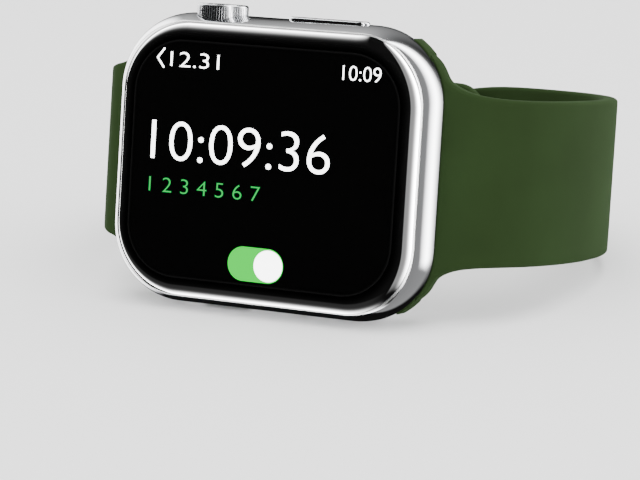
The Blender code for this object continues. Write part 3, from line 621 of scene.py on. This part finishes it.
def makeBack():
    half = backWindow["half"]
    size = (2 * half[0], 0.8 * mm, 2 * half[1])
    cover = slab("backCover", size, (0, 9.4 * mm, 0), backWindow["corner"], 16)
    work(cover)
    bevelEdges(cover, lambda place, along: place.y > 9.79 * mm and abs(along.y) < 0.1, 0.3 * mm, 5)
    bpy.ops.object.mode_set(mode="OBJECT")
    hole = addCylinder("cut", backWindow["radius"] + backWindow["gap"], 4 * mm, (0, 9.4 * mm, 0), "Y", 128)
    carve(cover, hole)
    softenRims(cover, 0.06 * mm)
    finish(cover, "case", ("back_cover",), looks["ceramic"], 32)

    dome = addCylinder("backCrystal", backWindow["radius"], 0.6 * mm, (0, 9.35 * mm, 0), "Y", 128)
    work(dome)
    pick(dome, "FACE", lambda place, normal: normal.y > 0.9)
    steps = [(0.12 * mm, 0.16 * mm), (0.3 * mm, 0.2 * mm), (0.6 * mm, 0.22 * mm), (0.9 * mm, 0.2 * mm)]
    steps += [(1.1 * mm, 0.13 * mm), (1.3 * mm, 0.07 * mm), (1.6 * mm, 0.02 * mm)]
    stepFace(steps)
    bpy.ops.object.mode_set(mode="OBJECT")
    finish(dome, "case", ("back_crystal",), sensorGlassLook(), 40)

    for side, end in ((-1, "12"), (1, "6")):
        size = (2 * release["halfWidth"], release["back"] - release["front"], 2 * release["halfLength"])
        middle = (side * release["x"], (release["front"] + release["back"]) / 2, 0)
        piece = slab("releaseButton_" + end, size, middle, release["halfWidth"] * 0.96, 8)
        work(piece)
        bevelEdges(piece, lambda place, along: place.y > 9.49 * mm and abs(along.y) < 0.1, 0.16 * mm, 3)
        bpy.ops.object.mode_set(mode="OBJECT")
        finish(piece, "release_" + end, ("release_button_" + end,), looks["steel"], 32)


makeBack()
print("back ready")


# The band

# the thicknesses are halves: of the free band, near the case, of the shoulders and of the tail
band = dict(
    halfWidth=10.75 * mm, tailHalfWidth=8.4 * mm,
    halfThick=1.1 * mm, nearThick=1.3 * mm, shoulderThick=1.5 * mm, tailThick=0.95 * mm,
    loopMiddle=28 * mm, gap=0.12 * mm, pinLayer=49.2 * mm, layerStep=2.6 * mm, pinX=7.5 * mm, pitch=6.5 * mm,
    holeRadius=2.0 * mm, holes=7, holesBeforePin=3, edgeRound=0.62,
    # where the two sides bend, as Bezier points in mm at +X: the pin strap turns back sooner
    holeSide=((24.95, 7.6), (30.6, 7.8), (34.5, 14.4), (34.9, 27.0), (35.1, 39.0)),
    pinSide=((24.95, 7.6), (26.4, 7.75), (29.6, 15.2), (33.4, 27.0), (38.16, 41.78)),
)
clasp = dict(flangeRadius=2.9 * mm, flange=0.7 * mm, shankRadius=1.2 * mm, head=0.6 * mm, below=1.0 * mm,
             above=0.9 * mm)


def caseContour(x):
    into = x - (case["length"] / 2 - case["corner"])
    if into <= 0:
        return case["width"] / 2
    return case["width"] / 2 - case["corner"] + math.sqrt(max(case["corner"] ** 2 - into ** 2, 0.0))


def freeHalfWidth(x):
    return band["halfWidth"] + 1.95 * mm * math.exp(-(x - 23.15 * mm) / (2.9 * mm))


def curvePoints(points, count):
    flat = [Vector((x * mm, y * mm, 0)) for x, y in points]
    return interpolate_bezier(*flat, count)


def shoulderStops():
    # from inside the case's corner out to its end: the shoulders follow the case's outline
    stops = []
    for x, beyond in ((18.9, -0.7), (19.6, -0.2), (20.4, 0.15), (21.2, 0.55), (21.9, 1.0)):
        place = Vector((x * mm, lug["depth"] + 0.35 * mm, 0))
        stops.append((place, caseContour(x * mm) + beyond * mm, band["shoulderThick"]))
    for x, sink in ((22.65, 0.4), (23.35, 0.45), (24.05, 0.5)):
        place = Vector((x * mm, lug["depth"] + sink * mm, 0))
        stops.append((place, freeHalfWidth(x * mm), band["nearThick"]))
    return stops


def loopStops(side, layerDepth):
    last = layerDepth / mm
    route = curvePoints(side[:4], 18)
    route += curvePoints((*side[3:], (31.6, last - 0.4), (20.0, last)), 18)[1:]
    stops = []
    for point in route:
        width, thick = band["halfWidth"], band["halfThick"]
        if point.y < band["loopMiddle"]:
            width = freeHalfWidth(point.x)
            thick += (band["nearThick"] - thick) * math.exp(-(point.x - 23.85 * mm) / (3.6 * mm))
        stops.append((point, width, thick))
    return stops


def tipStops(point, along, width, thick):
    reach = 4.0 * mm
    stops = []
    for angle in (12, 24, 36, 48, 59, 69, 78, 85):
        turn = math.radians(angle)
        stops.append((point + along * reach * math.sin(turn), width - reach * (1 - math.cos(turn)), thick))
    return stops


def pinTail():
    stops = [(Vector((x * mm, band["pinLayer"], 0)), band["halfWidth"], band["halfThick"])
             for x in (16.0, 12.0, 8.0, 4.0, 0.0, -4.0, -7.0)]
    return stops + tipStops(stops[-1][0], Vector((-1, 0, 0)), band["halfWidth"], band["halfThick"])


def holeTail():
    # over the pin, down through the tuck slot and along the inside of the other strap
    outer, inner = band["pinLayer"] + band["layerStep"], band["pinLayer"] - band["layerStep"]
    stops = []
    for x, share in ((15.0, 0.0), (11.0, 0.1), (7.5, 0.35), (4.0, 0.75), (1.5, 1.0)):
        width = band["halfWidth"] + (band["tailHalfWidth"] - band["halfWidth"]) * share
        stops.append((Vector((x * mm, outer, 0)), width, band["halfThick"]))
    start, end, steps = 0.5 * mm, -12.5 * mm, 14
    for step in range(1, steps):
        share = step / steps
        fall = (1 - math.cos(math.pi * share)) / 2
        place = Vector((start + (end - start) * share, outer + (inner - outer) * fall, 0))
        stops.append((place, band["tailHalfWidth"], band["tailThick"]))
    low = inner / mm
    run = curvePoints(((-12.5, low), (-16.0, low), (-18.6, low), (-21.0, low - 0.45)), 5)
    stops += [(point, band["tailHalfWidth"], band["tailThick"]) for point in run]
    along = (run[-1] - run[-2]).normalized()
    return stops + tipStops(run[-1], along, band["tailHalfWidth"], band["tailThick"])


def drawBand(name, stops):
    # a rounded section, extruded from stop to stop and turned, widened and thinned on the way
    start, width, thick = stops[0]
    deselectAll()
    bpy.ops.mesh.primitive_plane_add(size=1, location=start, rotation=(0, math.pi / 2, 0))
    bpy.context.active_object.scale = (2 * width, 2 * thick, 1)
    piece = nameNew(name)
    work(piece)
    bpy.ops.mesh.select_all(action="SELECT")
    bpy.ops.mesh.bevel(offset=band["edgeRound"] * thick, segments=5, affect="VERTICES")
    bpy.ops.mesh.select_all(action="SELECT")
    heading = 0.0
    last = len(stops) - 1
    for i in range(1, len(stops)):
        point, newWidth, newThick = stops[i]
        ahead = stops[min(i + 1, last)][0] - stops[i - 1][0]
        turnTo = math.atan2(ahead.y, ahead.x)
        bpy.ops.mesh.extrude_region_move(TRANSFORM_OT_translate={"value": point - stops[i - 1][0]})
        if heading:
            turnSelected(-heading, point)
        bpy.ops.transform.resize(value=(1, newThick / thick, newWidth / width), center_override=point)
        turnSelected(turnTo, point)
        heading, width, thick = turnTo, newWidth, newThick
    bpy.ops.mesh.select_all(action="SELECT")
    bpy.ops.mesh.normals_make_consistent(inside=False)
    bpy.ops.object.mode_set(mode="OBJECT")
    return piece


def turnSelected(angle, centre):
    # without a window this operator turns the other way
    bpy.ops.transform.rotate(value=-angle, orient_axis="Z", orient_type="GLOBAL", center_override=centre)


def aroundCase(name, grow):
    # a block with the case's outline, wider by grow
    size = (case["length"] + 2 * grow, 9 * mm, case["width"] + 2 * grow)
    return slab(name, size, (0, lug["depth"], 0), case["corner"] + grow, 24)


def makeLug():
    # the bar that slides in the case's slot and its neck, which fills the slot's mouth up to the band
    bar = addBlock("bar", lug["bar"], (lug["barX"], lug["depth"], 0))
    neck = addBlock("neck", lug["neck"], (lug["neckX"], lug["depth"], 0))
    carve(bar, neck, "UNION")
    carve(bar, aroundCase("trim", band["gap"] + 0.05 * mm), "INTERSECT")
    return bar


def mirrorOver(piece):
    deselectAll()
    piece.select_set(True)
    bpy.context.view_layer.objects.active = piece
    piece.scale = (-1, 1, 1)
    bpy.ops.object.transform_apply(location=False, rotation=False, scale=True)
    work(piece)
    bpy.ops.mesh.select_all(action="SELECT")
    bpy.ops.mesh.normals_make_consistent(inside=False)
    bpy.ops.object.mode_set(mode="OBJECT")


def joinLug(piece):
    carve(piece, aroundCase("cut", band["gap"]))
    carve(piece, makeLug(), "UNION")


def routePlace(stops, distance):
    walked = 0.0
    for (first, _, _), (second, _, _) in zip(stops, stops[1:]):
        step = (second - first).length
        if walked + step >= distance:
            return first + (second - first) * ((distance - walked) / step), (second - first).normalized()
        walked += step
    return stops[-1][0], (stops[-1][0] - stops[-2][0]).normalized()


def cutHoles(piece, stops):
    walked, overPin = 0.0, 0.0
    for (first, _, _), (second, _, _) in zip(stops, stops[1:]):
        if first.y > band["loopMiddle"] and first.x >= band["pinX"] - 0.01 * mm >= second.x:
            overPin = walked + (first.x - band["pinX"])
        walked += (second - first).length
    for number in range(band["holes"]):
        place, along = routePlace(stops, overPin + (number - band["holesBeforePin"]) * band["pitch"])
        turn = math.atan2(along.y, along.x)
        deselectAll()
        bpy.ops.mesh.primitive_cylinder_add(vertices=40, radius=band["holeRadius"], depth=3.6 * mm,
                                            location=place, rotation=(math.pi / 2, 0, turn))
        carve(piece, nameNew("cut"))


def makeStraps():
    layer = band["pinLayer"]
    stops = shoulderStops() + loopStops(band["holeSide"], layer + band["layerStep"]) + holeTail()
    holeStrap = drawBand("holeStrap", stops)
    modify(holeStrap, "SUBSURF", levels=1, render_levels=1)
    cutHoles(holeStrap, stops)
    joinLug(holeStrap)
    softenRims(holeStrap, 0.16 * mm, 3, 45)
    finish(holeStrap, "strap_6", ("strap_with_holes",), looks["silicone"], 45)
    holeStrap.visible_glossy = False

    # drawn on the same side as the other, then turned over
    pinStrap = drawBand("pinStrap", shoulderStops() + loopStops(band["pinSide"], layer) + pinTail())
    modify(pinStrap, "SUBSURF", levels=1, render_levels=1)
    carve(pinStrap, slab("cut", (12.4 * mm, 8 * mm, 17.5 * mm), (6 * mm, layer, 0), 2.5 * mm, 10))
    carve(pinStrap, addCylinder("cut", 1.5 * mm, 8 * mm, (-band["pinX"], layer, 0), "Y", 32))
    joinLug(pinStrap)
    mirrorOver(pinStrap)
    softenRims(pinStrap, 0.16 * mm, 3, 45)
    finish(pinStrap, "strap_12", ("strap_with_pin",), looks["silicone"], 45)
    pinStrap.visible_glossy = False


def makePin():
    # flange against the skin side, shank, and a low domed head outside the hole strap
    skin = band["pinLayer"] - band["halfThick"] - clasp["below"]
    middle = (band["pinX"], skin + clasp["flange"] / 2, 0)
    piece = addCylinder("claspPin", clasp["flangeRadius"], clasp["flange"], middle, "Y", 64)
    work(piece)
    pick(piece, "FACE", lambda place, normal: normal.y > 0.9)
    height = band["layerStep"] + 2 * band["halfThick"] + clasp["below"] + clasp["above"]
    shank = height - clasp["flange"] - clasp["head"]
    stepFace(((clasp["flangeRadius"] - clasp["shankRadius"], 0.0), (0.00001, shank)))
    bpy.ops.mesh.inset(thickness=0.55 * mm, depth=0.0, use_outset=True)
    stepFace(((0.00001, 0.35 * mm), (0.12 * mm, 0.12 * mm), (0.25 * mm, 0.1 * mm), (0.5 * mm, 0.03 * mm)))
    bevelEdges(piece, lambda place, along: place.y < skin + 0.01 * mm and abs(along.y) < 0.1, 0.2 * mm, 4)
    bpy.ops.object.mode_set(mode="OBJECT")
    finish(piece, "strap_12", ("clasp_pin",), looks["steel"], 32)


makeStraps()
makePin()
print("band ready")


# Inner pieces keep their CAD shape and take a finish of their own

innerFinish = dict(
    brushed=("display_plate", "board_screw_1", "board_screw_2", "board_screw_3", "board_screw_4",
             "haptic_housing", "haptic_spring_left", "haptic_spring_right", "haptic_mass", "speaker_mesh",
             "alignment_magnet", "crown_shaft", "crown_bush", "crown_retainer", "crown_bracket",
             "side_button_plunger", "side_button_bracket", "latch_bead_12", "latch_bead_6"),
    glass=("display_panel",),
    rubber=("display_gasket", "crown_seal", "side_button_seal"),
    plastic=("system_package", "microphone", "vent_sensor", "speaker_module", "sensor_cluster",
             "crown_encoder", "crown_switch", "side_button_switch"),
    board=("main_board", "sensor_board"),
    foil=("battery",),
    copper=("charging_coil", "display_flex"),
    ferrite=("ferrite_sheet",),
)
for look, nodes in innerFinish.items():
    for node in nodes:
        for slot in bpy.data.objects[node].material_slots:
            slot.material = looks[look]
print("inner pieces ready")


# Floor, light and camera

def makeFloor():
    deselectAll()
    bpy.ops.mesh.primitive_plane_add(size=6, location=(0, 0, 0))
    floor = nameNew("studioFloor")
    look = newLook("palePaper", Base_Color=linear("fafafa"), Roughness=0.9)[0]
    floor.data.materials.append(look)
    floor.visible_glossy = False


def makeSky():
    # an even pale studio, and for reflections a dark one with bright panels. in degrees, bearing runs
    # from the front towards the 6 o'clock end, rise from the front up and over, fall from the front down
    # and under, side from the middle towards the 6 o'clock end and height from the horizon up. a panel
    # fades in over near and out over far, its glow grows between them by its power, and limit names a
    # second coordinate with the span over which the panel fades in
    panels = (
        dict(along="bearing", near=(28, 31), far=(63, 69), glow=(0.4, 60.0), power=6.5,
             limit=("height", -50, -28)),
        dict(along="bearing", near=(63, 69), far=(150, 170), glow=(0.35, 0.45), power=1),
        dict(along="bearing", near=(104, 142), far=(136, 160), glow=(14.0, 14.0), power=1,
             limit=("height", -29, -18)),
        dict(along="bearing", near=(-155, -135), far=(-116, -100), glow=(6.0, 6.0), power=1,
             limit=("side", -33, -48)),
        dict(along="rise", near=(30, 38), far=(91, 95), glow=(0.0, 26.0), power=9,
             limit=("side", -12, -30)),
        dict(along="rise", near=(92, 94), far=(165, 185), glow=(1.2, 0.1), power=1,
             limit=("side", 20, -32)),
        dict(along="fall", near=(36, 42), far=(84, 87), glow=(0.03, 25.0), power=8,
             limit=("side", 20, -5)),
    )
    world = bpy.data.worlds.new("studio")
    bpy.context.scene.world = world
    world.use_nodes = True
    tree = world.node_tree
    split = addNode(tree, "SeparateXYZ", links={"Vector": addNode(tree, "TexCoord").outputs["Generated"]})
    x, y, z = (split.outputs[axis] for axis in "XYZ")

    def combine(operation, first, second):
        return addNode(tree, "Math", {"operation": operation}, {0: first, 1: second}).outputs["Value"]

    def span(value, start, end, low=0.0, high=1.0, kind="SMOOTHSTEP"):
        settings = {"interpolation_type": kind, "From Min": math.radians(start),
                    "From Max": math.radians(end), "To Min": low, "To Max": high}
        return addNode(tree, "MapRange", settings, {"Value": value}).outputs["Result"]

    front = addNode(tree, "Math", {"operation": "MULTIPLY", 1: -1.0}, {0: y}).outputs["Value"]
    down = addNode(tree, "Math", {"operation": "MULTIPLY", 1: -1.0}, {0: z}).outputs["Value"]
    side = addNode(tree, "Math", {"operation": "ARCSINE"}, {0: x}).outputs["Value"]
    height = addNode(tree, "Math", {"operation": "ARCSINE"}, {0: z}).outputs["Value"]
    coordinates = dict(bearing=combine("ARCTAN2", x, front), rise=combine("ARCTAN2", z, front),
                       fall=combine("ARCTAN2", down, front), side=side, height=height)
    total = span(front, 20, -20, 0.008, 0.01)
    for panel in panels:
        value = coordinates[panel["along"]]
        across = combine("MULTIPLY", span(value, *panel["near"]), span(value, *panel["far"], 1.0, 0.0))
        share = span(value, panel["near"][0], panel["far"][1], kind="LINEAR")
        share = addNode(tree, "Math", {"operation": "POWER", 1: panel["power"]}, {0: share}).outputs["Value"]
        glow = span(share, 0, math.degrees(1), *panel["glow"], "LINEAR")
        light = combine("MULTIPLY", glow, across)
        if "limit" in panel:
            name, start, end = panel["limit"]
            light = combine("MULTIPLY", light, span(coordinates[name], start, end))
        total = combine("ADD", total, light)
    rays = addNode(tree, "LightPath").outputs
    reflected = addNode(tree, "Background", {"Color": (1, 1, 1, 1)}, {"Strength": total})
    even = tree.nodes["Background"]
    even.inputs["Color"].default_value = (1, 1, 1, 1)
    even.inputs["Strength"].default_value = 1.9
    mix = addNode(tree, "MixShader",
                  links={0: rays["Is Glossy Ray"], 1: even.outputs[0], 2: reflected.outputs[0]})
    tree.links.new(mix.outputs[0], tree.nodes["World Output"].inputs["Surface"])


def addSoftbox(name, place, aim, size, power):
    data = bpy.data.lights.new(name, "AREA")
    data.shape = "RECTANGLE"
    data.size, data.size_y = size
    data.energy = power
    light = bpy.data.objects.new(name, data)
    light.location = place
    light.visible_glossy = False
    light.rotation_euler = (Vector(aim) - Vector(place)).to_track_quat("-Z", "Y").to_euler()
    bpy.context.scene.collection.objects.link(light)


def makeCamera():
    # a long lens, in front of the display and towards the 6 o'clock end
    eye = dict(azimuth=25.531, elevation=14.946, roll=-0.901, distance=393 * mm, lens=168.75,
               aim=Vector((7.391, -23.313, 10.460)) * mm)
    azimuth, elevation = math.radians(eye["azimuth"]), math.radians(eye["elevation"])
    toEye = Vector((math.sin(azimuth) * math.cos(elevation), -math.cos(azimuth) * math.cos(elevation),
                    math.sin(elevation)))
    data = bpy.data.cameras.new("studioCamera")
    data.lens = eye["lens"]
    data.sensor_width = 36.0
    data.clip_start = 0.01
    camera = bpy.data.objects.new("studioCamera", data)
    turn = toEye.to_track_quat("Z", "Y").to_matrix() @ Matrix.Rotation(math.radians(eye["roll"]), 3, "Z")
    camera.rotation_euler = turn.to_euler()
    camera.location = eye["aim"] + toEye * eye["distance"]
    bpy.context.scene.collection.objects.link(camera)
    bpy.context.scene.camera = camera


makeFloor()
makeSky()
addSoftbox("overhead", (0.1, -0.1, 0.7), (0, 0, 0.02), (0.7, 0.5), 4)
addSoftbox("rightBox", (0.6, 0.25, 0.2), (0, 0, 0.02), (0.3, 0.5), 0.5)
addSoftbox("leftBox", (-0.55, -0.25, 0.2), (-0.03, 0, 0.02), (0.2, 0.4), 0.3)
makeCamera()
print("studio ready")
